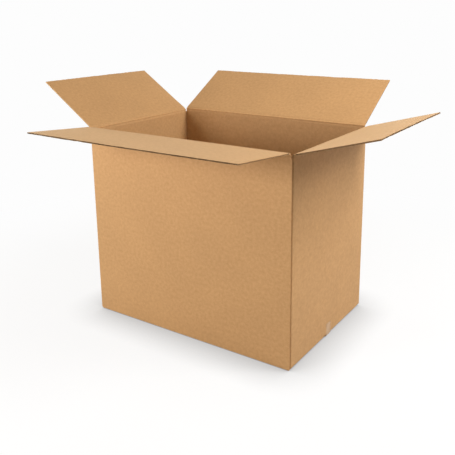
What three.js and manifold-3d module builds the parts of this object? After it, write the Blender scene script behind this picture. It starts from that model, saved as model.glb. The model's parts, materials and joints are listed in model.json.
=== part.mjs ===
// A pallet-sized carton of double-wall corrugated board, standing with its four top flaps open.
// Millimetres, +Z up. The origin is the centre of the base, on the underside of the seam tape.
// The long front panel faces -Y, and +X runs along it to the end panel beside the glued joint.

import * as THREE from "three";
import { mergeVertices } from "three/addons/utils/BufferGeometryUtils.js";
import Module from "manifold-3d";

// Carton, over its outer faces
const cartonLength = 1200;
const cartonWidth = 800;
const loadHeight = 990; // clear height inside, from the floor to the closed inner flaps

// Board, from the outer face inwards: liner, fine flutes, liner, coarse flutes, liner
const linerThickness = 0.7;
const fineFluteHeight = 2.1;
const coarseFluteHeight = 2.8;
const mediumThickness = 0.6; // the waved paper between two liners
// Pitches are two and a half times the real 6.3 and 7.9 mm, which keeps the waves few
const fineFlutePitch = 15.75;
const coarseFlutePitch = 19.75;
const fluteMouthDepth = 25; // how far the open flutes run in from a flap's free edge
const sideChannelDepth = 2; // flutes cut open along an edge that runs beside them

// Folds and cuts
const foldInnerRadius = 1;
const foldFacets = 6;
const slotWidth = 10; // cut between neighbouring flaps
const slotOverrun = 3; // how far a slot runs past the creases, into the walls
const meetingGap = 6; // between the free edges of the long flaps when closed
const stackGap = 0.3; // between a long flap and the short flap that it covers

// Crease of a top flap: the board is rolled thin there and mitred, so that it folds both ways
const creaseGap = 0.3;
const creaseCrushDepth = 2;
const creaseFlatLength = 4;
const creaseRampLength = 4;

// Glued joint, at the corner of the front panel and the right end panel
const glueTabWidth = 45;
const glueTabSlant = 15; // how much shorter the tab is at its free side, at each end
const jointSetback = 1; // from the end panel's outer face back to the front panel's raw edge

// Tape over the seam of the base
const tapeWidth = 50;
const tapeThickness = 0.3;
const tapeAdhesive = 0.1;
const tapeTurnUp = 70; // how far the tape runs up each end panel

// How far each top flap stands open, in degrees from upright
const frontFlapAngle = 85;
const rightFlapAngle = 74.5;
const backFlapAngle = 59;
const leftFlapAngle = 56;

// Sizes that follow
const boardThickness = 3 * linerThickness + fineFluteHeight + coarseFluteHeight;
const foldOuterRadius = boardThickness + foldInnerRadius;
const trimDepth = foldOuterRadius + 1; // cuts across a wall reach past the bends beside it
const longFlapWidth = cartonLength - boardThickness - slotWidth;
const shortFlapWidth = cartonWidth - boardThickness - slotWidth;
const flapLength = (cartonWidth - meetingGap) / 2;
const longFlapUnderside = tapeThickness + tapeAdhesive;
const shortFlapUnderside = longFlapUnderside + boardThickness + stackGap;
const floorHeight = shortFlapUnderside + boardThickness;
const shortCreaseHeight = floorHeight + loadHeight + boardThickness;
const longCreaseHeight = shortCreaseHeight + boardThickness + stackGap;
const slotBottom = shortCreaseHeight - boardThickness - slotOverrun;

// The two flute layers, each between the depths of its own faces below the board's outer face
const fluteLayers = [
  {
    from: linerThickness,
    to: linerThickness + fineFluteHeight,
    pitch: fineFlutePitch,
  },
  {
    from: 2 * linerThickness + fineFluteHeight,
    to: 2 * linerThickness + fineFluteHeight + coarseFluteHeight,
    pitch: coarseFlutePitch,
  },
];

// Edge of the board at a crease, as [depth below the outer face, setback from the hinge line]
const creaseEdge = [
  [0, creaseGap],
  [boardThickness - creaseCrushDepth, creaseGap + boardThickness - creaseCrushDepth],
  [
    boardThickness - creaseCrushDepth,
    creaseGap + boardThickness - creaseCrushDepth + creaseFlatLength,
  ],
  [
    boardThickness,
    creaseGap + boardThickness - creaseCrushDepth + creaseFlatLength + creaseRampLength,
  ],
];
const creaseEnd = creaseEdge[creaseEdge.length - 1][1];

const wasm = await Module();
wasm.setup();

// A closed three.js geometry as a solid that can be joined and cut. Its corners are rounded to a
// thousandth of a millimetre, so that faces which are meant to lie in one plane do.
function solidFrom(geometry) {
  const bare = geometry.clone();
  bare.deleteAttribute("normal");
  bare.deleteAttribute("uv");
  const merged = mergeVertices(bare, 1e-4);
  return new wasm.Manifold(
    new wasm.Mesh({
      numProp: 3,
      vertProperties: merged.attributes.position.array.map((v) => Math.round(v * 1000) / 1000),
      triVerts: new Uint32Array(merged.index.array),
    }),
  );
}

// A solid back as a three.js geometry with flat-shaded faces
function geometryFrom(solid) {
  const mesh = solid.getMesh();
  const indexed = new THREE.BufferGeometry();
  indexed.setAttribute("position", new THREE.BufferAttribute(mesh.vertProperties, 3));
  indexed.setIndex(new THREE.BufferAttribute(mesh.triVerts, 1));
  const flat = indexed.toNonIndexed();
  flat.computeVertexNormals();
  return flat;
}

// A block between two corners
function block(low, high) {
  const size = high.map((value, axis) => value - low[axis]);
  const middle = high.map((value, axis) => (value + low[axis]) / 2);
  return new THREE.BoxGeometry(...size).translate(...middle);
}

// A section drawn in Y and Z, drawn out along X to both sides of the middle
function drawnAlongX(shape, length) {
  const geometry = new THREE.ExtrudeGeometry(shape, { depth: length, bevelEnabled: false });
  const axes = new THREE.Matrix4().makeBasis(
    new THREE.Vector3(0, 1, 0),
    new THREE.Vector3(0, 0, 1),
    new THREE.Vector3(1, 0, 0),
  );
  return geometry.applyMatrix4(axes).translate(-length / 2, 0, 0);
}

// The section of a bent board. It starts on the outer face and follows its runs, and each fold
// turns it a quarter turn towards the inner face, which lies on the left of the way it goes.
const FOLD = "fold";
function bentBoard(start, heading, steps) {
  let [x, y] = start;
  let angle = heading;
  const outer = [];
  const inner = [];
  const mark = () => {
    outer.push(new THREE.Vector2(x, y));
    inner.push(
      new THREE.Vector2(
        x - boardThickness * Math.sin(angle),
        y + boardThickness * Math.cos(angle),
      ),
    );
  };
  mark();
  for (const step of steps) {
    if (step === FOLD) {
      const centreX = x - foldOuterRadius * Math.sin(angle);
      const centreY = y + foldOuterRadius * Math.cos(angle);
      for (let facet = 1; facet <= foldFacets; facet++) {
        angle += Math.PI / 2 / foldFacets;
        x = centreX + foldOuterRadius * Math.sin(angle);
        y = centreY - foldOuterRadius * Math.cos(angle);
        mark();
      }
    } else {
      x += step * Math.cos(angle);
      y += step * Math.sin(angle);
      mark();
    }
  }
  return new THREE.Shape([...outer, ...inner.reverse()]);
}

// What is trimmed off one end of the glue tab, from its slanted end upwards or downwards
function glueTabTrim(endHeight, outwards) {
  const free = cartonLength / 2 - glueTabWidth - 1;
  const bent = longFlapWidth / 2;
  const far = endHeight + outwards * foldOuterRadius * 4;
  const slant = outwards * glueTabSlant;
  const shape = new THREE.Shape([
    new THREE.Vector2(free, endHeight - slant),
    new THREE.Vector2(bent, endHeight),
    new THREE.Vector2(bent, far),
    new THREE.Vector2(free, far),
  ]);
  const inside = boardThickness - cartonWidth / 2;
  return new THREE.ExtrudeGeometry(shape, { depth: boardThickness + 1, bevelEnabled: false })
    .rotateX(Math.PI / 2)
    .translate(0, inside + boardThickness + 1, 0);
}

// The four walls seen from above: glue tab, right end, back, left end and front
function wallRing() {
  const bottom = longFlapUnderside + foldOuterRadius;
  const height = longCreaseHeight - bottom;
  const halfLength = cartonLength / 2;
  const halfWidth = cartonWidth / 2;
  const bentSheet = bentBoard([halfLength - glueTabWidth, boardThickness - halfWidth], 0, [
    glueTabWidth - foldOuterRadius,
    FOLD,
    cartonWidth - boardThickness - 2 * foldOuterRadius,
    FOLD,
    cartonLength - 2 * foldOuterRadius,
    FOLD,
    cartonWidth - 2 * foldOuterRadius,
    FOLD,
    halfLength - foldOuterRadius,
  ]);
  const upright = { depth: height, bevelEnabled: false };
  const bent = new THREE.ExtrudeGeometry(bentSheet, upright).translate(0, 0, bottom);
  const rawEdge = halfLength - jointSetback;
  const lappedPanel = block(
    [-boardThickness, -halfWidth, bottom],
    [rawEdge, boardThickness - halfWidth, longCreaseHeight],
  );
  let ring = solidFrom(bent)
    .subtract(solidFrom(glueTabTrim(slotBottom, 1)))
    .subtract(solidFrom(glueTabTrim(floorHeight + slotOverrun, -1)))
    .add(solidFrom(lappedPanel));
  for (const layer of fluteLayers) {
    const channel = block(
      [rawEdge - sideChannelDepth, layer.from - halfWidth, bottom - 1],
      [rawEdge + 1, layer.to - halfWidth, longCreaseHeight + 1],
    );
    ring = ring.subtract(solidFrom(channel));
  }
  return ring;
}

// What is trimmed off above the crease along the top of one wall, drawn for the front wall
function creaseTrim(wallOffset, creaseHeight, span) {
  const above = creaseHeight + foldOuterRadius;
  const outline = [[-1, creaseEdge[0][1]], ...creaseEdge, [trimDepth, creaseEnd]];
  const points = outline.map(
    ([depth, setback]) => new THREE.Vector2(depth - wallOffset, creaseHeight - setback),
  );
  const top = [
    new THREE.Vector2(trimDepth - wallOffset, above),
    new THREE.Vector2(-1 - wallOffset, above),
  ];
  return drawnAlongX(new THREE.Shape([...points, ...top]), span);
}

// A base flap with the fold that joins it to the foot of its wall, drawn for the front wall
function baseFlap(wallOffset, underside, width) {
  const wallOverlap = boardThickness;
  const start = [-wallOffset, underside + foldOuterRadius + wallOverlap];
  const reach = flapLength - foldOuterRadius;
  return drawnAlongX(bentBoard(start, -Math.PI / 2, [wallOverlap, FOLD, reach]), width);
}

// The walls, glue tab and taped base: one folded sheet
function cartonBody() {
  const longTrimSpan = cartonLength + 2 * boardThickness;
  const shortTrimSpan = cartonWidth - boardThickness - slotWidth;
  const foot = longFlapUnderside;
  const shortFold = shortFlapUnderside + foldOuterRadius;
  let body = wallRing();
  for (const turn of [0, Math.PI]) {
    const end = turn + Math.PI / 2;
    const longTrim = creaseTrim(cartonWidth / 2, longCreaseHeight, longTrimSpan);
    const shortTrim = creaseTrim(cartonLength / 2, shortCreaseHeight, shortTrimSpan);
    const shortFoot = block(
      [-shortTrimSpan / 2, -cartonLength / 2 - 1, foot],
      [shortTrimSpan / 2, trimDepth - cartonLength / 2, shortFold],
    );
    body = body
      .subtract(solidFrom(longTrim.rotateZ(turn)))
      .subtract(solidFrom(shortTrim.rotateZ(end)))
      .subtract(solidFrom(shortFoot.rotateZ(end)));
  }
  for (const side of [-1, 1])
    for (const face of [-1, 1]) {
      const corner = (low, high) => {
        const xs = [side * (longFlapWidth / 2), side * (cartonLength / 2 + 1)];
        const ys = [face * (shortFlapWidth / 2), face * (cartonWidth / 2 + 1)];
        return solidFrom(
          block(
            [Math.min(...xs), Math.min(...ys), low],
            [Math.max(...xs), Math.max(...ys), high],
          ),
        );
      };
      body = body
        .subtract(corner(slotBottom, longCreaseHeight + 1))
        .subtract(corner(foot, shortFlapUnderside + slotOverrun));
    }
  for (const turn of [0, Math.PI]) {
    const long = baseFlap(cartonWidth / 2, longFlapUnderside, longFlapWidth);
    const short = baseFlap(cartonLength / 2, shortFlapUnderside, shortFlapWidth);
    body = body
      .add(solidFrom(long.rotateZ(turn)))
      .add(solidFrom(short.rotateZ(turn + Math.PI / 2)));
  }
  return geometryFrom(body);
}

// Triangular mouths of one flute layer along a free edge, alternately on its two liners
function fluteMouths(layer, width) {
  const height = layer.to - layer.from;
  const openHeight = height - mediumThickness / 2;
  const halfBase = ((layer.pitch / 2) * openHeight) / height;
  const clearWidth = width - 2 * (sideChannelDepth + mediumThickness);
  const count = Math.floor((2 * clearWidth) / layer.pitch) - 1;
  const mouths = [];
  for (let i = 0; i < count; i++) {
    const middle = ((i - (count - 1) / 2) * layer.pitch) / 2;
    const [liner, apex] =
      i % 2 ? [layer.from, layer.from + openHeight] : [layer.to, layer.to - openHeight];
    mouths.push(
      new THREE.Shape([
        new THREE.Vector2(middle - halfBase, liner),
        new THREE.Vector2(middle + halfBase, liner),
        new THREE.Vector2(middle, apex),
      ]),
    );
  }
  return mouths;
}

// A top flap standing upright on its hinge line, with its outer face on Y = 0 and its inner face on +Y
function topFlap(width) {
  const edge = creaseEdge.map(([depth, setback]) => new THREE.Vector2(depth, setback));
  const freeCorners = [
    new THREE.Vector2(boardThickness, flapLength),
    new THREE.Vector2(0, flapLength),
  ];
  let flap = solidFrom(drawnAlongX(new THREE.Shape([...edge, ...freeCorners]), width));
  for (const layer of fluteLayers) {
    const mouths = new THREE.ExtrudeGeometry(fluteMouths(layer, width), {
      depth: fluteMouthDepth + 1,
      bevelEnabled: false,
    });
    flap = flap.subtract(solidFrom(mouths.translate(0, 0, flapLength - fluteMouthDepth)));
    for (const side of [-1, 1]) {
      const channel = block(
        [width / 2 - sideChannelDepth, layer.from, creaseEnd],
        [width / 2 + 1, layer.to, flapLength + 1],
      );
      const placed = side < 0 ? channel.translate(sideChannelDepth - width - 1, 0, 0) : channel;
      flap = flap.subtract(solidFrom(placed));
    }
  }
  return geometryFrom(flap);
}

// Clear tape over the seam of the base, turned up both end panels
function seamTape() {
  const turnRadius = (cartonLength - longFlapWidth) / 2;
  const shape = new THREE.Shape();
  const outside = cartonLength / 2 + tapeAdhesive + tapeThickness;
  const inside = outside - tapeThickness;
  const centreX = inside - turnRadius;
  const centreZ = tapeThickness + turnRadius;
  const outerTurn = turnRadius + tapeThickness;
  shape.moveTo(-centreX, 0);
  shape.absarc(centreX, centreZ, outerTurn, -Math.PI / 2, 0, false);
  shape.lineTo(outside, tapeTurnUp);
  shape.lineTo(inside, tapeTurnUp);
  shape.absarc(centreX, centreZ, turnRadius, 0, -Math.PI / 2, true);
  shape.absarc(-centreX, centreZ, turnRadius, -Math.PI / 2, -Math.PI, true);
  shape.lineTo(-inside, tapeTurnUp);
  shape.lineTo(-outside, tapeTurnUp);
  shape.absarc(-centreX, centreZ, outerTurn, -Math.PI, -Math.PI / 2, false);
  const settings = { depth: tapeWidth, bevelEnabled: false, curveSegments: foldFacets };
  return new THREE.ExtrudeGeometry(shape, settings)
    .rotateX(Math.PI / 2)
    .translate(0, tapeWidth / 2, 0);
}

const brownLiner = { color: 0xc99f6e, roughness: 0.9, metalness: 0 };
const clearFilm = { color: 0xc9a880, roughness: 0.25, metalness: 0 };

function piece(name, geometry, finish) {
  const mesh = new THREE.Mesh(geometry, new THREE.MeshStandardMaterial(finish));
  mesh.name = name;
  return mesh;
}

const carton = new THREE.Group();
carton.add(piece("carton_body", cartonBody(), brownLiner));
carton.add(piece("seam_tape", seamTape(), clearFilm));

// Each top flap hangs on its own wall, which is the front wall turned about the middle
const longHinge = { wallOffset: cartonWidth / 2, height: longCreaseHeight, width: longFlapWidth };
const shortHinge = {
  wallOffset: cartonLength / 2,
  height: shortCreaseHeight,
  width: shortFlapWidth,
};
const topFlaps = [
  { name: "front_flap", hinge: longHinge, quarterTurns: 0, openAngle: frontFlapAngle },
  { name: "right_flap", hinge: shortHinge, quarterTurns: 1, openAngle: rightFlapAngle },
  { name: "back_flap", hinge: longHinge, quarterTurns: 2, openAngle: backFlapAngle },
  { name: "left_flap", hinge: shortHinge, quarterTurns: 3, openAngle: leftFlapAngle },
];
for (const { name, hinge, quarterTurns, openAngle } of topFlaps) {
  const flap = piece(name, topFlap(hinge.width), brownLiner);
  flap.position.set(0, -hinge.wallOffset, hinge.height);
  flap.rotation.x = THREE.MathUtils.degToRad(openAngle);
  const wall = new THREE.Group();
  wall.rotation.z = (quarterTurns * Math.PI) / 2;
  wall.add(flap);
  carton.add(wall);
}

export default carton;
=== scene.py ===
"""A pallet-sized carton of double-wall corrugated board, standing open in a pale studio.

The walls, the folded base and the tape are the frame's own solids, and get their finish here. The
four top flaps are made again paper by paper, with real flutes, in the places of their solids.
"""

import json
import logging
import math
from dataclasses import dataclass
from enum import Enum, IntEnum
from typing import Any, Optional, Sequence

import bpy
import numpy as np
from mathutils import Matrix, Vector


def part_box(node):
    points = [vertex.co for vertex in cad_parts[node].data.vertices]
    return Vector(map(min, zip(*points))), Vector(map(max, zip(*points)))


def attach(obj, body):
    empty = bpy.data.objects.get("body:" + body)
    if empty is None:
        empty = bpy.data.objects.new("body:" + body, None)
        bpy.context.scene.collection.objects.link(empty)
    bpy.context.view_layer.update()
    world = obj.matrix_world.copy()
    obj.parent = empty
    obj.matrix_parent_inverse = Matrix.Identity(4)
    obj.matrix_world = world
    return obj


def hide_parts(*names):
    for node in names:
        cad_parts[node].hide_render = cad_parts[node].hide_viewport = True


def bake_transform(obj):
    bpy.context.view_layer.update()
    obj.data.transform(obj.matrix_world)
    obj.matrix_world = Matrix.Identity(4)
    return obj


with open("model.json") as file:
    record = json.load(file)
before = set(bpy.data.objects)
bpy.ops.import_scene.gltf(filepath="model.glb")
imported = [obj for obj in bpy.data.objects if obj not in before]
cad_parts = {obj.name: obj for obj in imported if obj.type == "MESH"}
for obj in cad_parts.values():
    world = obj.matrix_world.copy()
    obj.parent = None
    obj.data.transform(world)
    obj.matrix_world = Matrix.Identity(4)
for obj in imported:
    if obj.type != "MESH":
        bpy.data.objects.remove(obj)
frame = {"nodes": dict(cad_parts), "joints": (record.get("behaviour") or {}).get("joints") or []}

log = logging.getLogger("carton")

MM = 0.001
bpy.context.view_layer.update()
NOISE_LOW, NOISE_HIGH = 0.3, 0.7  # most of a noise's values lie between these


class MixIn(IntEnum):
    """The Mix node's inputs by number, because its kinds of value share their names."""

    FACTOR = 0
    NUMBER_A = 2
    NUMBER_B = 3
    VECTOR_A = 4
    VECTOR_B = 5
    COLOUR_A = 6
    COLOUR_B = 7


class MixOut(IntEnum):
    """The Mix node's outputs by number."""

    NUMBER = 0
    VECTOR = 1
    COLOUR = 2


def linear(code: str) -> tuple[float, float, float, float]:
    """Turns an sRGB hex colour into the linear colour that shaders take.

    Args:
        code: Six hex digits after a hash sign.

    Returns:
        Red, green, blue and an alpha of one.
    """
    parts = [int(code[i : i + 2], 16) / 255 for i in (1, 3, 5)]
    red, green, blue = [p / 12.92 if p <= 0.04045 else ((p + 0.055) / 1.055) ** 2.4 for p in parts]
    return (red, green, blue, 1.0)


def add_node(tree: bpy.types.NodeTree, kind: str, settings: Optional[dict[Any, Any]] = None,
             links: Optional[dict[Any, Any]] = None) -> bpy.types.Node:
    """Adds one node to a tree, with its settings and what feeds its inputs.

    Args:
        tree: The node tree that gets the node.
        kind: Blender's name for the node's type.
        settings: Node properties by name, and input values by socket name or number.
        links: Output sockets by the name or number of the input that each one feeds.

    Returns:
        The new node.
    """
    node = tree.nodes.new(kind)
    for key, value in (settings or {}).items():
        if isinstance(key, str) and hasattr(node, key):
            setattr(node, key, value)
        else:
            node.inputs[key].default_value = value
    for key, output in (links or {}).items():
        tree.links.new(output, node.inputs[key])
    return node


def blank_material(name: str) -> tuple[bpy.types.Material, bpy.types.NodeTree]:
    """Makes a node material with nothing in it.

    Args:
        name: The material's name.

    Returns:
        The material and its empty node tree.
    """
    material = bpy.data.materials.new(name)
    material.use_nodes = True
    material.node_tree.nodes.clear()
    return material, material.node_tree


def background_rays(tree: bpy.types.NodeTree) -> Any:
    """Picks out the rays that should see the plain background and not its light.

    Args:
        tree: The node tree that gets the nodes.

    Returns:
        A socket that is one for rays from the camera, off gloss or through clear film.
    """
    rays = add_node(tree, "ShaderNodeLightPath")
    direct = add_node(tree, "ShaderNodeMath", {"operation": "MAXIMUM"},
                      {0: rays.outputs["Is Camera Ray"], 1: rays.outputs["Is Glossy Ray"]})
    through = add_node(tree, "ShaderNodeMath", {"operation": "MAXIMUM"},
                       {0: direct.outputs[0], 1: rays.outputs["Is Transmission Ray"]})
    return through.outputs[0]


class Pattern(Enum):
    """Where a paper's pattern gets its place from."""

    SHEET = "the sheet's own flat plan, for board that turns with a flap"
    WALLS = "the standing carton, for walls that never move"


class Face(Enum):
    """The board's two faces, with the pitch in millimetres of the flutes right under each."""

    FINE = 6.3
    COARSE = 7.9


class Paper(IntEnum):
    """The papers of the board, as the numbers of a piece's material slots."""

    OUTER = 0
    INNER = 1
    FLUTING = 2
    CUT_EDGE = 3
    CREASED = 4


@dataclass(frozen=True)
class KraftLiner:
    """Natural kraft linerboard: unbleached pine fibre, machine finished, uncoated.

    To the eye it is a matt warm brown with cloudy formation, fine fibre streaks along the
    machine direction, a few dark specks and a faint washboard where the flutes show through.
    """

    name: str
    cloud_dark: str = "#B98F60"
    cloud_light: str = "#C79C6D"
    speck: str = "#94693B"
    roughness: float = 0.6
    specular: float = 0.12
    fuzz: float = 0.2
    fuzz_roughness: float = 0.32
    fuzz_tint: str = "#FFF0CC"
    # The clouds of real paper are 5 to 10 mm. They are drawn larger, so that they show.
    cloud_mm: float = 16.0
    cloud_octaves: float = 4.0
    cloud_roughness: float = 0.62
    drift_mm: float = 240.0
    drift_share: float = 0.12
    # Real fibres are about 3 mm by 0.04 mm. Drawn as tufts, they are coarse enough to show.
    fibre_length_mm: float = 9.0
    fibre_width_mm: float = 2.2
    fibre_share: float = 0.1
    fibre_depth_mm: float = 0.012
    washboard_share: float = 0.006
    washboard_depth_mm: float = 0.02
    # Real specks are under 1 mm. At these shares of their spacing they are 1 to 3 mm across.
    speck_spacing_mm: float = 26.0
    speck_core: float = 0.02
    speck_rim: float = 0.06
    fold_lightening: float = 0.0
    fold_lightening_reach_mm: float = 4.5
    end_facing: float = 0.7

    def material(self, pattern: Pattern, face: Face) -> bpy.types.Material:
        """Builds the paper's material.

        Args:
            pattern: Where the pattern's place comes from.
            face: Which flutes show through the paper.

        Returns:
            The finished material.
        """
        material, tree = blank_material(self.name)
        across, place = self._places(tree, pattern)
        streaks = add_node(tree, "ShaderNodeMapping", {"Scale": (1 / self.fibre_length_mm,
                           1 / self.fibre_width_mm, 1 / self.fibre_width_mm)}, {"Vector": place})
        fibres = add_node(tree, "ShaderNodeTexNoise", {"Scale": 1.0, "Detail": 2.0},
                          {"Vector": streaks.outputs[0]})
        ripple = add_node(tree, "ShaderNodeMath", {"operation": "MULTIPLY",
                          1: 2 * math.pi / face.value}, {0: across})
        wave = add_node(tree, "ShaderNodeMath", {"operation": "SINE"}, {0: ripple.outputs[0]})
        colour = self._colour(tree, place, fibres.outputs[0], wave.outputs[0])
        relief = add_node(tree, "ShaderNodeBump", {"Strength": 1.0,
                          "Distance": self.fibre_depth_mm * MM}, {"Height": fibres.outputs[0]})
        washboard = add_node(tree, "ShaderNodeBump", {"Strength": 1.0,
                             "Distance": self.washboard_depth_mm * MM},
                             {"Height": wave.outputs[0], "Normal": relief.outputs[0]})
        # Hardly any shine makes it look dry, and warm fuzz lifts the faces that are seen edge on.
        paper = add_node(tree, "ShaderNodeBsdfPrincipled", {"Roughness": self.roughness,
                         "Specular IOR Level": self.specular, "Sheen Weight": self.fuzz,
                         "Sheen Roughness": self.fuzz_roughness,
                         "Sheen Tint": linear(self.fuzz_tint)},
                         {"Base Color": colour, "Normal": washboard.outputs[0]})
        add_node(tree, "ShaderNodeOutputMaterial", links={"Surface": paper.outputs[0]})
        return material

    def _colour(self, tree: bpy.types.NodeTree, place: Any, fibres: Any, wave: Any) -> Any:
        """Mixes the paper's colour from its clouds, fibres, washboard, a lighter line along a fold
        and specks.

        Args:
            tree: The material's node tree.
            place: The socket of the position, in millimetres.
            fibres: The socket of the fibre pattern.
            wave: The socket of the washboard's height.

        Returns:
            The socket of the colour.
        """
        clouds = add_node(tree, "ShaderNodeTexNoise", {"Scale": 1 / self.cloud_mm,
                          "Detail": self.cloud_octaves, "Roughness": self.cloud_roughness},
                          {"Vector": place})
        cloud_level = add_node(tree, "ShaderNodeMapRange", {"From Min": NOISE_LOW,
                               "From Max": NOISE_HIGH}, {"Value": clouds.outputs[0]})
        colour = add_node(tree, "ShaderNodeMix", {"data_type": "RGBA",
                          MixIn.COLOUR_A: linear(self.cloud_dark),
                          MixIn.COLOUR_B: linear(self.cloud_light)},
                          {MixIn.FACTOR: cloud_level.outputs[0]})
        drift = add_node(tree, "ShaderNodeTexNoise", {"Scale": 1 / self.drift_mm, "Detail": 1.0},
                         {"Vector": place})
        level = add_node(tree, "ShaderNodeMath", {"operation": "MULTIPLY_ADD",
                         1: self.drift_share, 2: 1 - self.drift_share / 2}, {0: drift.outputs[0]})
        fibre_level = add_node(tree, "ShaderNodeMath", {"operation": "MULTIPLY_ADD",
                               1: self.fibre_share, 2: -self.fibre_share / 2}, {0: fibres})
        wave_level = add_node(tree, "ShaderNodeMath", {"operation": "MULTIPLY_ADD",
                              1: self.washboard_share}, {0: wave, 2: fibre_level.outputs[0]})
        shade = add_node(tree, "ShaderNodeMath", {"operation": "ADD"},
                         {0: level.outputs[0], 1: wave_level.outputs[0]})
        if self.fold_lightening:
            shade = self._lighten_fold(tree, place, clouds.outputs[0], shade.outputs[0])
        shaded = add_node(tree, "ShaderNodeVectorMath", {"operation": "SCALE"},
                          {0: colour.outputs[MixOut.COLOUR], "Scale": shade.outputs[0]})
        specks = add_node(tree, "ShaderNodeTexVoronoi", {"Scale": 1 / self.speck_spacing_mm},
                          {"Vector": place})
        speck_mask = add_node(tree, "ShaderNodeMapRange", {"From Min": self.speck_core,
                              "From Max": self.speck_rim, "To Min": 1.0, "To Max": 0.0},
                              {"Value": specks.outputs["Distance"]})
        specked = add_node(tree, "ShaderNodeMix", {"data_type": "RGBA",
                           MixIn.COLOUR_B: linear(self.speck)},
                           {MixIn.FACTOR: speck_mask.outputs[0], MixIn.COLOUR_A: shaded.outputs[0]})
        return specked.outputs[MixOut.COLOUR]

    def _lighten_fold(self, tree: bpy.types.NodeTree, place: Any, patches: Any, shade: Any) -> Any:
        """Lightens the paper in uneven patches along the middle of a fold.

        Args:
            tree: The material's node tree.
            place: The socket of the flat position, whose second number runs across the fold.
            patches: The socket of a noise that makes the lightening uneven.
            shade: The socket of the brightness so far.

        Returns:
            The node that gives the new brightness.
        """
        axes = add_node(tree, "ShaderNodeSeparateXYZ", links={0: place})
        away = add_node(tree, "ShaderNodeMath", {"operation": "ABSOLUTE"}, {0: axes.outputs["Y"]})
        line = add_node(tree, "ShaderNodeMapRange", {"interpolation_type": "SMOOTHSTEP",
                        "From Max": self.fold_lightening_reach_mm, "To Min": 2 * self.fold_lightening, "To Max": 0.0},
                        {"Value": away.outputs[0]})
        return add_node(tree, "ShaderNodeMath", {"operation": "MULTIPLY_ADD"},
                        {0: line.outputs[0], 1: patches, 2: shade})

    def _places(self, tree: bpy.types.NodeTree, pattern: Pattern) -> tuple[Any, Any]:
        """Gives the coordinates that the pattern is drawn in, in millimetres.

        Args:
            tree: The material's node tree.
            pattern: Where the pattern's place comes from.

        Returns:
            The socket that runs across the flutes, and the socket of the whole position.
        """
        source = add_node(tree, "ShaderNodeTexCoord")
        socket = source.outputs["UV" if pattern is Pattern.SHEET else "Object"]
        place = add_node(tree, "ShaderNodeVectorMath", {"operation": "SCALE", "Scale": 1 / MM},
                         {0: socket})
        axes = add_node(tree, "ShaderNodeSeparateXYZ", links={0: place.outputs[0]})
        if pattern is Pattern.SHEET:
            return axes.outputs["X"], place.outputs[0]
        facing = add_node(tree, "ShaderNodeNewGeometry")
        normal = add_node(tree, "ShaderNodeSeparateXYZ", links={0: facing.outputs["True Normal"]})
        sideways = add_node(tree, "ShaderNodeMath", {"operation": "ABSOLUTE"},
                            {0: normal.outputs["X"]})
        is_end = add_node(tree, "ShaderNodeMath", {"operation": "GREATER_THAN",
                          1: self.end_facing}, {0: sideways.outputs[0]})
        across = add_node(tree, "ShaderNodeMix", {"data_type": "FLOAT"},
                          {MixIn.FACTOR: is_end.outputs[0], MixIn.NUMBER_A: axes.outputs["X"],
                           MixIn.NUMBER_B: axes.outputs["Y"]})
        on_end = add_node(tree, "ShaderNodeCombineXYZ", links={"X": axes.outputs["Y"],
                          "Y": axes.outputs["Z"], "Z": axes.outputs["X"]})
        on_side = add_node(tree, "ShaderNodeCombineXYZ", links={"X": axes.outputs["X"],
                           "Y": axes.outputs["Z"], "Z": axes.outputs["Y"]})
        flat = add_node(tree, "ShaderNodeMix", {"data_type": "VECTOR"},
                        {MixIn.FACTOR: is_end.outputs[0], MixIn.VECTOR_A: on_side.outputs[0],
                         MixIn.VECTOR_B: on_end.outputs[0]})
        return across.outputs[MixOut.NUMBER], flat.outputs[MixOut.VECTOR]


@dataclass(frozen=True)
class MottledFinish:
    """What the fluting, the cut edges and the tape share: two close tones in one fine pattern."""

    name: str
    dark: str
    light: str
    roughness: float
    grain_mm: tuple[float, float, float]
    octaves: float
    low: float = NOISE_LOW
    high: float = NOISE_HIGH
    place: str = "UV"
    relief_mm: float = 0.0
    relief_strength: float = 1.0
    refraction: float = 1.5

    def material(self) -> bpy.types.Material:
        """Builds the finish's material.

        Returns:
            The finished material.
        """
        material, tree = blank_material(self.name)
        source = add_node(tree, "ShaderNodeTexCoord")
        scaled = add_node(tree, "ShaderNodeMapping",
                          {"Scale": [1 / (size * MM) for size in self.grain_mm]},
                          {"Vector": source.outputs[self.place]})
        grain = add_node(tree, "ShaderNodeTexNoise", {"Scale": 1.0, "Detail": self.octaves},
                         {"Vector": scaled.outputs[0]})
        amount = add_node(tree, "ShaderNodeMapRange", {"From Min": self.low,
                          "From Max": self.high}, {"Value": grain.outputs[0]})
        colour = add_node(tree, "ShaderNodeMix", {"data_type": "RGBA",
                          MixIn.COLOUR_A: linear(self.dark), MixIn.COLOUR_B: linear(self.light)},
                          {MixIn.FACTOR: amount.outputs[0]})
        feeds = {"Base Color": colour.outputs[MixOut.COLOUR]}
        if self.relief_mm:
            relief = add_node(tree, "ShaderNodeBump", {"Strength": self.relief_strength,
                              "Distance": self.relief_mm * MM}, {"Height": grain.outputs[0]})
            feeds["Normal"] = relief.outputs[0]
        finish = add_node(tree, "ShaderNodeBsdfPrincipled", {"Roughness": self.roughness,
                          "IOR": self.refraction}, feeds)
        add_node(tree, "ShaderNodeOutputMaterial", links={"Surface": finish.outputs[0]})
        return material


@dataclass(frozen=True)
class FlutingPaper(MottledFinish):
    """Semi-chemical fluting medium: short fibre, unfinished, greyer and duller than the liners.

    To the eye it is a dull brown, coloured much darker than real fluting as painted shade for the
    hollows between the liners, where little light goes.
    """

    name: str = "fluting_paper_painted_shade"
    # Both tones are much darker than the real paper: painted shade for the flute hollows.
    dark: str = "#6F5030"
    light: str = "#8F6B42"
    roughness: float = 0.9
    grain_mm: tuple[float, float, float] = (2.5, 2.5, 2.5)
    octaves: float = 3.0
    low: float = 0.0
    high: float = 1.0
    relief_mm: float = 0.03


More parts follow.
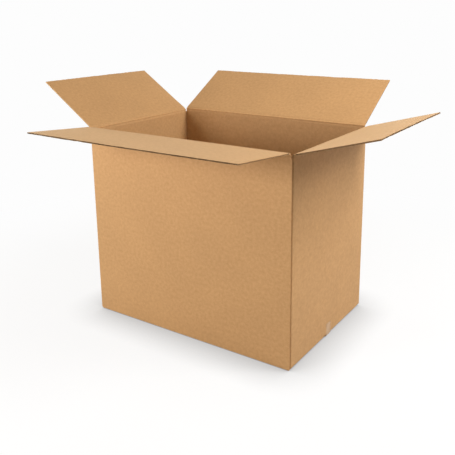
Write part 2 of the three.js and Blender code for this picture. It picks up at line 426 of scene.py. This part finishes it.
@dataclass(frozen=True)
class CutEdge(MottledFinish):
    """The knife-cut edge of a liner: loose fibre ends with nothing pressed or glossy about them.

    To the eye each liner ends in a pale thread, lighter than its faces.
    """

    name: str = "kraft_cut_edge"
    dark: str = "#B9905F"
    light: str = "#D8B688"
    roughness: float = 0.95
    # Real fibre ends are far finer. Drawn as tufts, they are coarse enough to show.
    grain_mm: tuple[float, float, float] = (1.6, 1.6, 1.6)
    octaves: float = 2.0


@dataclass(frozen=True)
class PackingTape(MottledFinish):
    """Clear BOPP packing tape, 50 mm wide, pressed onto kraft liner by hand.

    To the eye it is a smooth band, a little paler and greyer than the board that shows through
    it, with a soft gloss and faint streaks where the adhesive did not quite wet the paper.
    """

    name: str = "clear_bopp_tape"
    dark: str = "#BE976B"
    light: str = "#C9A67E"
    roughness: float = 0.22
    refraction: float = 1.49
    grain_mm: tuple[float, float, float] = (36.0, 3.0, 36.0)  # streaks 3 mm wide along the tape
    octaves: float = 3.0
    low: float = 0.35
    place: str = "Object"
    relief_mm: float = 0.05
    relief_strength: float = 0.4


@dataclass(frozen=True)
class StudioWhite:
    """Seamless white background paper, lit to near white, that still takes the soft shadow, with a
    painted contact shadow where ambient occlusion dims its glow near the carton.
    """

    name: str = "seamless_white"
    shade: str = "#FDFDFD"
    paper_level: float = 0.12
    bounce_level: float = 0.55
    # Painted contact shadow: how far from the carton and how deeply ambient occlusion dims the
    # floor's glow.
    painted_shadow_reach: float = 0.22
    painted_shadow_depth: float = 0.8
    painted_shadow_samples: int = 16
    near: float = 1.2
    far: float = 2.6

    @property
    def white(self) -> float:
        """The background's white as a linear level."""
        return linear(self.shade)[0]

    def material(self) -> bpy.types.Material:
        """Builds the floor's material, which fades to plain white away from the carton, with a
        painted contact shadow: ambient occlusion dims its glow near the carton.

        Returns:
            The finished material.
        """
        material, tree = blank_material(self.name)
        paper = add_node(tree, "ShaderNodeBsdfDiffuse", {"Color": (*[self.paper_level] * 3, 1.0)})
        # Painted contact shadow: ambient occlusion dims the glow near the carton.
        painted_shadow = add_node(tree, "ShaderNodeAmbientOcclusion", {"samples": self.painted_shadow_samples,
                           "Distance": self.painted_shadow_reach})
        depth = add_node(tree, "ShaderNodeMapRange", {"To Min": 1 - self.painted_shadow_depth},
                         {"Value": painted_shadow.outputs["AO"]})
        strength = add_node(tree, "ShaderNodeMath", {"operation": "MULTIPLY",
                            1: self.white - self.paper_level}, {0: depth.outputs[0]})
        lift = add_node(tree, "ShaderNodeEmission", links={"Strength": strength.outputs[0]})
        lit = add_node(tree, "ShaderNodeAddShader", links={0: paper.outputs[0],
                       1: lift.outputs[0]})
        plain = add_node(tree, "ShaderNodeEmission", {"Strength": self.white})
        source = add_node(tree, "ShaderNodeTexCoord")
        reach = add_node(tree, "ShaderNodeVectorMath", {"operation": "LENGTH"},
                         {0: source.outputs["Object"]})
        fade = add_node(tree, "ShaderNodeMapRange", {"interpolation_type": "SMOOTHSTEP",
                        "From Min": self.near, "From Max": self.far},
                        {"Value": reach.outputs["Value"]})
        seen = add_node(tree, "ShaderNodeMixShader", links={0: fade.outputs[0],
                        1: lit.outputs[0], 2: plain.outputs[0]})
        bounce = add_node(tree, "ShaderNodeBsdfDiffuse",
                          {"Color": (*[self.bounce_level] * 3, 1.0)})
        both = add_node(tree, "ShaderNodeMixShader", links={0: background_rays(tree),
                        1: bounce.outputs[0], 2: seen.outputs[0]})
        add_node(tree, "ShaderNodeOutputMaterial", links={"Surface": both.outputs[0]})
        return material


class MeshDraft:
    """Gathers closed thin sheets of paper into one mesh."""

    SHARP_DEGREES = 40

    def __init__(self) -> None:
        """Starts with nothing in the mesh."""
        self.points: list[np.ndarray] = []
        self.faces: list[np.ndarray] = []
        self.plan: list[np.ndarray] = []
        self.finish: list[np.ndarray] = []
        self.count = 0

    def add_sheet(self, front: np.ndarray, back: np.ndarray, plan: np.ndarray, finish: int,
                  rim_finish: Optional[int] = None) -> None:
        """Adds a sheet that lies between two matching grids of points.

        Args:
            front: Points of one face, rows by columns by three. Rows run so that row, column
                and the way out of this face form a right-handed set.
            back: Points of the other face, in the same order.
            plan: The flat position of each point in metres, rows by columns by two.
            finish: The number of the material slot.
            rim_finish: The slot for the sheet's cut edges, where it isn't the same.
        """
        rows, columns = front.shape[:2]
        index = np.arange(rows * columns).reshape(rows, columns) + self.count
        under = index + rows * columns
        top = np.stack([index[:-1, :-1], index[1:, :-1], index[1:, 1:], index[:-1, 1:]], -1)
        bottom = np.stack([under[:-1, :-1], under[:-1, 1:], under[1:, 1:], under[1:, :-1]], -1)
        rim = np.concatenate([index[0, :-1], index[:-1, -1], index[-1, :0:-1], index[:0:-1, 0]])
        low = rim + rows * columns
        side = np.stack([rim, np.roll(rim, -1), np.roll(low, -1), low], -1)
        quads = np.concatenate([top.reshape(-1, 4), bottom.reshape(-1, 4), side])
        finishes = np.full(len(quads), int(finish))
        if rim_finish is not None:
            finishes[-len(side):] = rim_finish
        self.points += [front.reshape(-1, 3), back.reshape(-1, 3)]
        self.plan += [plan.reshape(-1, 2), plan.reshape(-1, 2)]
        self.faces.append(quads)
        self.finish.append(finishes)
        self.count += 2 * rows * columns

    def build(self, name: str, materials: Sequence[bpy.types.Material]) -> bpy.types.Object:
        """Makes the mesh object, shaded smoothly between its sharp edges.

        Args:
            name: The piece's name.
            materials: Its materials, in the order of the slot numbers.

        Returns:
            The new object, linked to the scene.
        """
        mesh = bpy.data.meshes.new(name)
        mesh.from_pydata(np.concatenate(self.points).tolist(), [],
                         np.concatenate(self.faces).tolist())
        mesh.polygons.foreach_set("material_index", np.concatenate(self.finish).astype(np.int32))
        layer = mesh.uv_layers.new(name="flat_plan")
        loops = np.zeros(len(mesh.loops), np.int32)
        mesh.loops.foreach_get("vertex_index", loops)
        plan = np.concatenate(self.plan)
        layer.data.foreach_set("uv", plan[loops].astype(np.float32).ravel())
        for material in materials:
            mesh.materials.append(material)
        mesh.update()
        mesh.shade_smooth()
        mesh.set_sharp_from_angle(angle=math.radians(self.SHARP_DEGREES))
        piece = bpy.data.objects.new(name, mesh)
        bpy.context.scene.collection.objects.link(piece)
        return piece


@dataclass(frozen=True)
class Layer:
    """One paper of the board, with depths in millimetres below the board's outer face."""

    top: float
    foot: float
    paper: Paper
    pitch: Optional[float] = None
    plan_row: int = 0


@dataclass(frozen=True)
class Board:
    """Double-wall corrugated board and its small flaws, in millimetres."""

    liner: float = 0.35
    medium: float = 0.3
    fine_flute: float = 2.55
    coarse_flute: float = 3.4
    points_per_flute: int = 8
    flute_drift: float = 0.035
    recess_least: float = 0.05
    recess_most: float = 0.5
    recess_step: int = 4
    edge_crush: float = 0.7
    crush_reach: float = 3.5
    crush_spacing: float = 11.0
    side_steepness: float = 1.4
    wave_spacing: float = 60.0
    wave_share: float = 0.3
    rigid_root: float = 14.0
    flank_recess: float = 0.3
    flank_skin: float = 0.3

    @property
    def thickness(self) -> float:
        """The whole board's thickness."""
        return 3 * self.liner + self.fine_flute + self.coarse_flute

    def layers(self) -> list[Layer]:
        """Lists the five papers, from the outer face inwards.

        Returns:
            The papers: three liners, with a waved medium between each two.
        """
        fine_top = self.liner
        fine_foot = fine_top + self.fine_flute
        coarse_top = fine_foot + self.liner
        coarse_foot = coarse_top + self.coarse_flute
        return [
            Layer(0.0, fine_top, Paper.OUTER, plan_row=1),
            Layer(fine_top, fine_foot, Paper.FLUTING, Face.FINE.value),
            Layer(fine_foot, coarse_top, Paper.INNER, plan_row=2),
            Layer(coarse_top, coarse_foot, Paper.FLUTING, Face.COARSE.value),
            Layer(coarse_foot, self.thickness, Paper.INNER, plan_row=3),
        ]


class BoardPanel:
    """A flat stretch of board with all of its five papers, open at its cut edges."""

    EDGE_ROWS = (7.0, 2.5, 0.0)  # rows of points close to the free edge, by their distance
    MIDDLE_ROWS = 5
    SHORT_SPAN = 10.0  # a panel that is shorter than this gets evenly spaced rows
    SHORT_ROWS = 3
    EDGE_COLUMNS = (1.5, 5.0)  # columns of points close to the sides, by their distance
    LEAST_WAVES = 4
    LEAST_CRUSH = 0.1
    PLAN_SHIFT = 3.0  # how far one panel's pattern is from the next one's, in metres

    def __init__(self, board: Board, width: float, start: float, end: float, seed: int,
                 warp: float = 0.0) -> None:
        """Sets the panel's size and draws its irregularities.

        Args:
            board: The board that it is cut from.
            width: Its size across the flutes, in millimetres.
            start: Where it starts along the flutes, measured from the crease.
            end: Where its free edge is, measured from the crease.
            seed: The seed for its small irregularities.
            warp: How far its free edge bows out of its plane.
        """
        self.board = board
        self.width = width
        self.start = start
        self.end = end
        self.warp = warp
        self.rng = np.random.default_rng(seed)
        self.plan_place = self.PLAN_SHIFT * seed
        half = width / 2
        self.knots = np.linspace(-half, half, int(width / board.crush_spacing))
        waves = max(self.LEAST_WAVES, int(width / board.wave_spacing))
        wave_places = np.linspace(-half, half, waves)
        # Whole stretches of the edge are crushed more or less, with dents from knock to knock.
        stretches = self.rng.uniform(self.LEAST_CRUSH, 1.0, waves)
        dents = self.rng.uniform(0.0, 1.0, len(self.knots))
        self.crush = np.interp(self.knots, wave_places, stretches) * dents
        self.wobble = np.interp(self.knots, wave_places, self.rng.uniform(0.0, 1.0, waves))

    def place(self, across: np.ndarray, depth: np.ndarray, along: np.ndarray) -> np.ndarray:
        """Bends flat board coordinates into the panel's slightly irregular shape.

        Args:
            across: Position across the flutes, in millimetres from the middle.
            depth: Depth below the outer face.
            along: Position along the flutes, from the crease.

        Returns:
            Points in millimetres, in the panel's own axes.
        """
        board = self.board
        from_side = (self.width / 2 - np.abs(across)) * board.side_steepness
        from_edge = np.maximum(np.minimum(self.end - along, from_side), 0)
        pinch = board.edge_crush * np.interp(across, self.knots, self.crush)
        pinch = pinch * np.exp(-from_edge / board.crush_reach)
        pinch = pinch * np.clip((along - board.rigid_root) / board.rigid_root, 0, 1)
        middle = board.thickness / 2
        squeezed = middle + (depth - middle) * (1 - pinch)
        share = np.clip(along / self.end, 0, 1)
        bow = self.warp * share**2 * (1 - (2 * across / self.width) ** 2)
        wave = board.wave_share * self.warp * share**3 * np.interp(across, self.knots, self.wobble)
        return np.stack([across, squeezed + bow + wave, along], -1)

    def rows(self, start: float) -> np.ndarray:
        """Gives the positions along the flutes at which the papers have points.

        Args:
            start: Where the paper starts.

        Returns:
            Positions in millimetres, closer together near the free edge.
        """
        close = self.end - np.array(self.EDGE_ROWS)
        if close[0] - start < self.SHORT_SPAN:
            return np.linspace(start, self.end, self.SHORT_ROWS)
        middle = np.linspace(start, close[0], self.MIDDLE_ROWS, endpoint=False)
        return np.concatenate([middle, close])

    def add_liner(self, draft: MeshDraft, layer: Layer, start: float) -> None:
        """Adds one of the three flat papers, with the pale fibre of its cut edges.

        Args:
            draft: The mesh that gets the paper.
            layer: The paper.
            start: Where it starts along the flutes.
        """
        half = self.width / 2
        edge = np.array(self.EDGE_COLUMNS)
        columns = np.sort(np.concatenate([self.knots, edge - half, half - edge]))
        across, along = np.meshgrid(columns, self.rows(start), indexing="ij")
        front = self.place(across, np.full_like(across, layer.top), along)
        back = self.place(across, np.full_like(across, layer.foot), along)
        plan = np.stack([across, along], -1) * MM + layer.plan_row * self.plan_place
        draft.add_sheet(front * MM, back * MM, plan, layer.paper, Paper.CUT_EDGE)

    def add_medium(self, draft: MeshDraft, layer: Layer, start: float) -> None:
        """Adds one of the two waved papers, whose crests are glued to the liners.

        Args:
            draft: The mesh that gets the paper.
            layer: The paper, between the faces of its two liners.
            start: Where it starts along the flutes.
        """
        board = self.board
        half = self.width / 2
        steps = int(round(self.width / layer.pitch * board.points_per_flute))
        columns = np.linspace(-half, half, steps + 1)
        # A whole number of half flutes leaves a crest at both sides of the panel.
        even_pitch = self.width / round(2 * self.width / layer.pitch) * 2
        drift = np.cumsum(self.rng.normal(0, board.flute_drift, steps + 1))
        drift -= np.linspace(0, drift[-1], steps + 1)
        turn = 2 * math.pi * (columns + half) / even_pitch + drift
        swing = (layer.foot - layer.top - board.medium) / 2
        centre = (layer.foot + layer.top) / 2 + swing * np.cos(turn)
        slope = -swing * np.sin(turn) * 2 * math.pi / even_pitch
        length = np.sqrt(1 + slope**2)
        shift = board.medium / 2 * slope / length
        lift = board.medium / 2 / length
        ends = columns[:: board.recess_step]
        recess = self.rng.uniform(board.recess_least, board.recess_most, len(ends))
        across, along = np.meshgrid(columns, self.rows(start), indexing="ij")
        along[:, -1] -= np.interp(columns, ends, recess)
        faces = []
        for side in (1, -1):
            shifted = np.clip(across + side * shift[:, None], -half, half)
            depth = np.broadcast_to((centre - side * lift)[:, None], across.shape)
            faces.append(self.place(shifted, depth, along) * MM)
        draft.add_sheet(*faces, np.stack([across, along], -1) * MM, layer.paper)

    def add_flanks(self, draft: MeshDraft, start: float) -> None:
        """Adds the flute walls that the knife lays bare where it runs along the flutes.

        Args:
            draft: The mesh that gets the walls.
            start: Where the flutes start along the panel.
        """
        board = self.board
        for side in (-1, 1):
            for layer in board.layers():
                if layer.pitch is None:
                    continue
                depth, along = np.meshgrid([layer.top, layer.foot], self.rows(start),
                                           indexing="ij")
                outside = np.full_like(depth, side * (self.width / 2 - board.flank_recess))
                inside = outside - side * board.flank_skin
                faces = [self.place(outside, depth, along), self.place(inside, depth, along)]
                front, back = faces if side > 0 else faces[::-1]
                plan = np.stack([depth, along], -1) * MM
                draft.add_sheet(front * MM, back * MM, plan, Paper.CUT_EDGE)

    def fill(self, draft: MeshDraft, inner_start: float) -> None:
        """Adds all five papers, from the outer face inwards.

        Args:
            draft: The mesh that gets the papers.
            inner_start: Where all but the outer one start, past the crushed crease.
        """
        for layer in self.board.layers():
            start = self.start if layer.paper is Paper.OUTER else inner_start
            add = self.add_liner if layer.pitch is None else self.add_medium
            add(draft, layer, start)


@dataclass(frozen=True)
class Hinge:
    """A fold line along the top of one wall, as the frame's joint gives it.

    The panel's own axes run along the fold, inwards from the outer face, and up from the fold.
    """

    place: tuple[float, float, float]
    turn: float
    open_angle: float
    width: float

    @classmethod
    def of_flap(cls, name: str) -> "Hinge":
        """Reads the fold of one flap from the frame.

        Args:
            name: The flap's node and body.

        Returns:
            The fold, with the flap's lean at rest in degrees and its width in millimetres.
        """
        joint = next(joint for joint in frame["joints"] if joint["child"] == name)
        low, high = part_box(name)
        width = abs((high - low).dot(Vector(joint["axis"]))) / MM
        # The lower limit shuts the flap, a right angle inwards from upright.
        open_angle = -joint["range_deg"][0] - 90.0
        turn = math.atan2(joint["axis"][1], joint["axis"][0])
        return cls(tuple(joint["pos_m"]), turn, open_angle, round(width, 3))

    def matrix(self, angle: float) -> Matrix:
        """Gives the matrix from a panel's own axes to the carton's.

        Args:
            angle: How far the panel leans out from upright, in degrees.

        Returns:
            A four by four matrix, in metres.
        """
        lean = Matrix.Rotation(math.radians(angle), 4, "X")
        return Matrix.Translation(self.place) @ Matrix.Rotation(self.turn, 4, "Z") @ lean


@dataclass
class TopFlap:
    """One top flap: an open-edged panel of board and the creased paper at its fold.

    The board is crushed at its root and ramps up to its full thickness. Sizes are in millimetres.
    """

    name: str
    board: Board
    papers: Sequence[bpy.types.Material]  # in the order of Paper
    seed: int
    warp: float
    closed_sides: bool = False
    length: float = 397.0
    crease_gap: float = 0.3
    crush_depth: float = 2.0
    crease_flat: float = 4.0
    crease_ramp: float = 4.0
    root_lap: float = 1.0
    root_lift: float = 0.01
    bevel_start: float = 13.5
    bevel_end: float = 3.2
    bevel_lead: float = 1.2
    bevel_ease: float = 0.6
    fold_radius: float = 5.4
    fold_points: int = 9
    skin: float = 0.3
    lap: float = 4.0
    proud: float = 0.12
    ripple: float = 0.18
    ripple_spacing: float = 12.0
    ripple_seed: int = 50
    least_ripples: int = 9

    def __post_init__(self) -> None:
        """Finds the fold that the flap hangs on."""
        self.hinge = Hinge.of_flap(self.name)

    def build(self) -> list[bpy.types.Object]:
        """Builds the flap's pieces, hangs the panel on the flap's body and leaves the crease in
        place at rest.

        Returns:
            The panel and the crease.
        """
        panel = self._panel()
        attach(panel, self.name)
        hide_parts(self.name)
        crease = self._crease()
        start, end = self._crease_ends()
        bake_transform(crease)
        return [panel, crease]

    def _panel(self) -> bpy.types.Object:
        """Builds the flat of the flap, with its crushed root.

        Returns:
            The panel, in place at rest.
        """
        board, hinge = self.board, self.hinge
        crushed = board.thickness - self.crush_depth
        flat_end = self.crease_gap + crushed + self.crease_flat
        ramp_end = flat_end + self.crease_ramp
        draft = MeshDraft()
        sheets = BoardPanel(board, hinge.width, self.crease_gap, self.length, self.seed, self.warp)
        sheets.fill(draft, ramp_end)
        if self.closed_sides:
            sheets.add_flanks(draft, ramp_end)
        inner_face = board.thickness - board.liner
        upper = np.array([[board.liner, self.crease_gap + board.liner],
                          [crushed, self.crease_gap + crushed], [crushed, flat_end],
                          [inner_face, ramp_end], [inner_face, ramp_end + self.root_lap]])
        lower = np.stack([np.full(len(upper), board.liner), upper[:, 1]], -1)
        lower[0, 1] += self.root_lift
        columns = np.array([-0.5, 0.0, 0.5]) * hinge.width
        faces = []
        for line in (lower, upper):
            across = np.broadcast_to(columns[:, None], (len(columns), len(line)))
            sides = np.broadcast_to(line, (len(columns), *line.shape))
            faces.append(np.concatenate([across[..., None], sides], -1))
        plan = faces[0][:, :, [0, 2]] * MM
        draft.add_sheet(faces[0] * MM, faces[1] * MM, plan, Paper.INNER)
        piece = draft.build(self.name + "_board", self.papers)
        piece.data.transform(hinge.matrix(hinge.open_angle))
        return piece

    def _crease_path(self) -> np.ndarray:
        """Gives the line of the creased paper across the fold, at rest.

        Returns:
            Points as depth and height from the hinge line, in millimetres.
        """
        proud = self.board.thickness + self.proud
        shoulder = math.sqrt(self.fold_radius**2 - self.bevel_end**2)
        side = np.array([[proud, self.bevel_start + self.lap],
                         [proud, self.bevel_start + self.bevel_lead],
                         [self.board.thickness, self.bevel_start - self.bevel_ease],
                         [(proud + shoulder) / 2, (self.bevel_start + self.bevel_end) / 2],
                         [shoulder, self.bevel_end]])
        lean = math.radians(self.hinge.open_angle)
        wall = side * [1, -1]
        flap = np.stack([side[:, 0] * math.cos(lean) - side[:, 1] * math.sin(lean),
                         side[:, 0] * math.sin(lean) + side[:, 1] * math.cos(lean)], -1)[::-1]
        first = math.atan2(wall[-1, 1], wall[-1, 0])
        last = math.atan2(flap[0, 1], flap[0, 0])
        bend = np.linspace(first, last, self.fold_points + 2)[1:-1]
        arc = self.fold_radius * np.stack([np.cos(bend), np.sin(bend)], -1)
        return np.concatenate([wall, arc, flap])

    def _crease(self) -> bpy.types.Object:
        """Builds the inner liner where it runs over the fold from the wall to the flap.

        Returns:
            The crease, in place at rest.
        """
        width = self.hinge.width
        path = self._crease_path()
        along = np.gradient(path, axis=0)
        along /= np.linalg.norm(along, axis=1)[:, None]
        inward = np.stack([-along[:, 1], along[:, 0]], -1)
        rng = np.random.default_rng(self.seed + self.ripple_seed)
        count = max(self.least_ripples, int(width / self.ripple_spacing))
        columns = np.linspace(-width / 2, width / 2, count)
        fade = np.sin(math.pi * np.linspace(0, 1, len(path))) ** 2
        ripple = rng.normal(0, self.ripple, (count, len(path))) * fade
        faces = []
        for line in (path + inward * self.skin, path):
            sides = line[None] - inward[None] * ripple[..., None]
            across = np.broadcast_to(columns[:, None], ripple.shape)
            faces.append(np.concatenate([across[..., None], sides], -1) * MM)
        run = np.concatenate([[0], np.cumsum(np.linalg.norm(np.diff(path, axis=0), axis=1))])
        plan = np.stack(np.meshgrid(columns, run - run[-1] / 2, indexing="ij"), -1) * MM
        plan[..., 0] += BoardPanel.PLAN_SHIFT * self.seed
        draft = MeshDraft()
        only_slot = 0
        draft.add_sheet(*faces, plan, only_slot)
        piece = draft.build(self.name + "_crease", [self.papers[Paper.CREASED]])
        piece.data.transform(self.hinge.matrix(0))
        return piece

    def _crease_ends(self) -> tuple[Vector, Vector]:
        """Gives the points between which the crease turns from the wall to the flap.

        Returns:
            The point on the wall and the point on the flap, in metres.
        """
        hinge = self.hinge
        corner = self.board.thickness - self.crush_depth
        reach = self.crease_gap + corner
        wall = hinge.matrix(0) @ (Vector((0, corner, -reach)) * MM)
        flap = hinge.matrix(hinge.open_angle) @ (Vector((0, corner, reach)) * MM)
        return wall, flap


@dataclass
class CartonBody:
    """The standing walls and the folded base, with the open edges of the short base flaps.

    Sizes are in millimetres. The short base flaps are as wide as the short top ones.
    """

    board: Board
    papers: Sequence[bpy.types.Material]  # in the order of Paper
    base_flap_reach: float = 397.0
    base_flap_underside: float = 7.7
    edge_length: float = 4.0
    first_seed: int = 21

    def dress(self, walls: bpy.types.Material, film: bpy.types.Material) -> None:
        """Gives the frame's own solids, the folded sheet and its tape, their finishes.

        Args:
            walls: The liner's material, placed on the standing carton.
            film: The tape's material.
        """
        for name, finish in (("carton_body", walls), ("seam_tape", film)):
            node = frame["nodes"][name]
            node.data.materials.clear()
            node.data.materials.append(finish)
            log.info("dressed %s", name)

    def base_edges(self) -> list[bpy.types.Object]:
        """Builds the open flutes along the free edges of the two short base flaps.

        Returns:
            One piece for each edge.
        """
        reach = self.base_flap_reach
        pieces = []
        for number, name in enumerate(("left", "right")):
            hinge = Hinge.of_flap(name + "_flap")
            wall = hinge.place[0]
            side = math.copysign(1, wall)
            draft = MeshDraft()
            panel = BoardPanel(self.board, hinge.width, reach, reach + self.edge_length,
                               self.first_seed + number)
            panel.fill(draft, reach)
            piece = draft.build(name + "_base_edge", self.papers)
            piece.data.transform(Matrix(((0, 0, -side, wall), (-side, 0, 0, 0),
                                         (0, 1, 0, self.base_flap_underside * MM), (0, 0, 0, 1))))
            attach(piece, "carton")
            pieces.append(piece)
        return pieces


@dataclass
class Lamp:
    """A soft box, aimed at a point, in metres and watts."""

    name: str
    place: tuple[float, float, float]
    aim: tuple[float, float, float]
    size: float
    watts: float

    def build(self) -> bpy.types.Object:
        """Makes the lamp.

        Returns:
            The new light object.
        """
        data = bpy.data.lights.new(self.name, "AREA")
        data.shape = "DISK"
        data.size = self.size
        data.energy = self.watts
        lamp = bpy.data.objects.new(self.name, data)
        bpy.context.scene.collection.objects.link(lamp)
        lamp.location = self.place
        lamp.rotation_mode = "QUATERNION"
        way = Vector(self.aim) - Vector(self.place)
        lamp.rotation_quaternion = way.to_track_quat("-Z", "Y")
        return lamp


@dataclass
class Studio:
    """The pale floor, the soft light and the camera, in metres and degrees.

    The camera is the one that was fitted to the corners of the carton in the photograph.
    """

    floor_size: float = 60.0
    ambient: float = 0.2
    ambient_tint: str = "#FFE6C0"
    camera_place: tuple[float, float, float] = (1.82581, -2.63352, 1.59804)
    azimuth: float = 32.779
    elevation: float = 13.768
    roll: float = -0.215
    lens_mm: float = 49.27
    sensor_mm: float = 36.0
    shift_x: float = -0.04917
    shift_y: float = -0.13712
    sight: float = 200.0

    def floor(self, white: StudioWhite) -> bpy.types.Object:
        """Lays the floor under the carton.

        Args:
            white: The floor's finish.

        Returns:
            The floor.
        """
        half = self.floor_size / 2
        mesh = bpy.data.meshes.new("studio_floor")
        corners = [(-half, -half, 0), (half, -half, 0), (half, half, 0), (-half, half, 0)]
        mesh.from_pydata(corners, [], [(0, 1, 2, 3)])
        mesh.materials.append(white.material())
        floor = bpy.data.objects.new("studio_floor", mesh)
        bpy.context.scene.collection.objects.link(floor)
        return floor

    def backdrop(self, white: StudioWhite) -> bpy.types.World:
        """Sets the even light from all round, which the camera sees as white.

        Args:
            white: The floor's finish, whose white the backdrop shares.

        Returns:
            The world.
        """
        world = bpy.data.worlds.new("studio_backdrop")
        bpy.context.scene.world = world
        world.use_nodes = True
        tree = world.node_tree
        tree.nodes.clear()
        even = add_node(tree, "ShaderNodeBackground", {"Color": linear(self.ambient_tint),
                        "Strength": self.ambient})
        seen = add_node(tree, "ShaderNodeBackground", {"Color": linear("#FFFFFF"),
                        "Strength": white.white})
        both = add_node(tree, "ShaderNodeMixShader", links={0: background_rays(tree),
                        1: even.outputs[0], 2: seen.outputs[0]})
        add_node(tree, "ShaderNodeOutputWorld", links={"Surface": both.outputs[0]})
        return world

    def camera(self) -> bpy.types.Object:
        """Sets up the camera at the photograph's viewing angle.

        Returns:
            The camera.
        """
        data = bpy.data.cameras.new("studio_camera")
        data.sensor_width = self.sensor_mm
        data.lens = self.lens_mm
        data.shift_x = self.shift_x
        data.shift_y = self.shift_y
        data.clip_end = self.sight
        camera = bpy.data.objects.new("studio_camera", data)
        bpy.context.scene.collection.objects.link(camera)
        across, tilt = math.radians(self.azimuth), math.radians(self.elevation)
        back = Vector((math.sin(across) * math.cos(tilt), -math.cos(across) * math.cos(tilt),
                       math.sin(tilt)))
        right = (-back).cross(Vector((0, 0, 1))).normalized()
        up = right.cross(-back)
        roll = math.radians(self.roll)
        turned_right = right * math.cos(roll) + up * math.sin(roll)
        turned_up = up * math.cos(roll) - right * math.sin(roll)
        axes = Matrix((turned_right, turned_up, back)).transposed().to_4x4()
        camera.matrix_world = Matrix.Translation(self.camera_place) @ axes
        bpy.context.scene.camera = camera
        return camera

    def lamps(self) -> list[bpy.types.Object]:
        """Hangs the soft boxes.

        Returns:
            The lamps.
        """
        boxes = [
            Lamp("key_soft_box", (-2.9, -2.9, 0.9), (-0.2, -0.4, 0.6), 1.6, 28.0),
            Lamp("front_left_soft_box", (-1.8, -3.8, 1.75), (0.0, 0.0, 0.9), 1.4, 101.0),
            Lamp("front_right_soft_box", (0.6, -4.2, 1.8), (0.0, 0.0, 0.9), 1.4, 13.0),
            Lamp("high_right_soft_box", (2.6, 0.6, 3.6), (-0.2, 0.0, 0.9), 1.2, 68.0),
            Lamp("top_soft_box", (-0.4, -1.0, 4.2), (0.0, 0.0, 0.9), 1.6, 9.0),
            Lamp("end_soft_box", (3.4, 1.0, 2.9), (0.6, 0.0, 0.6), 1.4, 88.0),
            Lamp("left_soft_box", (-4.2, 0.6, 1.2), (-0.6, 0.0, 0.6), 1.6, 50.0),
            Lamp("rear_soft_box", (1.4, 4.4, 1.4), (0.0, 0.4, 0.6), 1.8, 45.0),
        ]
        return [box.build() for box in boxes]


def board_papers() -> list[bpy.types.Material]:
    """Makes the board's materials.

    Returns:
        The materials, in the order of Paper.
    """
    finishes = {
        Paper.OUTER: KraftLiner("kraft_liner_outer").material(Pattern.SHEET, Face.FINE),
        Paper.INNER: KraftLiner("kraft_liner_inner").material(Pattern.SHEET, Face.COARSE),
        Paper.FLUTING: FlutingPaper().material(),
        Paper.CUT_EDGE: CutEdge().material(),
        Paper.CREASED: KraftLiner("kraft_liner_creased", fold_lightening=0.1).material(Pattern.SHEET,
                                                                          Face.COARSE),
    }
    return [finishes[paper] for paper in Paper]


def main() -> None:
    """Builds the studio and the carton."""
    logging.basicConfig(level=logging.INFO, format="%(message)s")
    bpy.context.scene.view_settings.view_transform = "Standard"

    studio = Studio()
    white = StudioWhite()
    studio.camera()
    studio.floor(white)
    studio.backdrop(white)
    for lamp in studio.lamps():
        log.info("hung %s", lamp.name)

    board = Board()
    papers = board_papers()
    body = CartonBody(board, papers)
    walls = KraftLiner("kraft_liner_walls").material(Pattern.WALLS, Face.FINE)
    body.dress(walls, PackingTape().material())
    pieces = body.base_edges()
    # The long flaps bow outwards and the short ones inwards, so that they stay clear when shut.
    flaps = [
        TopFlap("front_flap", board, papers, seed=11, warp=-1.8),
        TopFlap("right_flap", board, papers, seed=12, warp=1.2),
        TopFlap("back_flap", board, papers, seed=13, warp=-2.0),
        TopFlap("left_flap", board, papers, seed=14, warp=1.4, closed_sides=True),
    ]
    for flap in flaps:
        pieces += flap.build()
    for piece in pieces:
        log.info("built %s with %d faces", piece.name, len(piece.data.polygons))


if __name__ == "__main__":
    main()
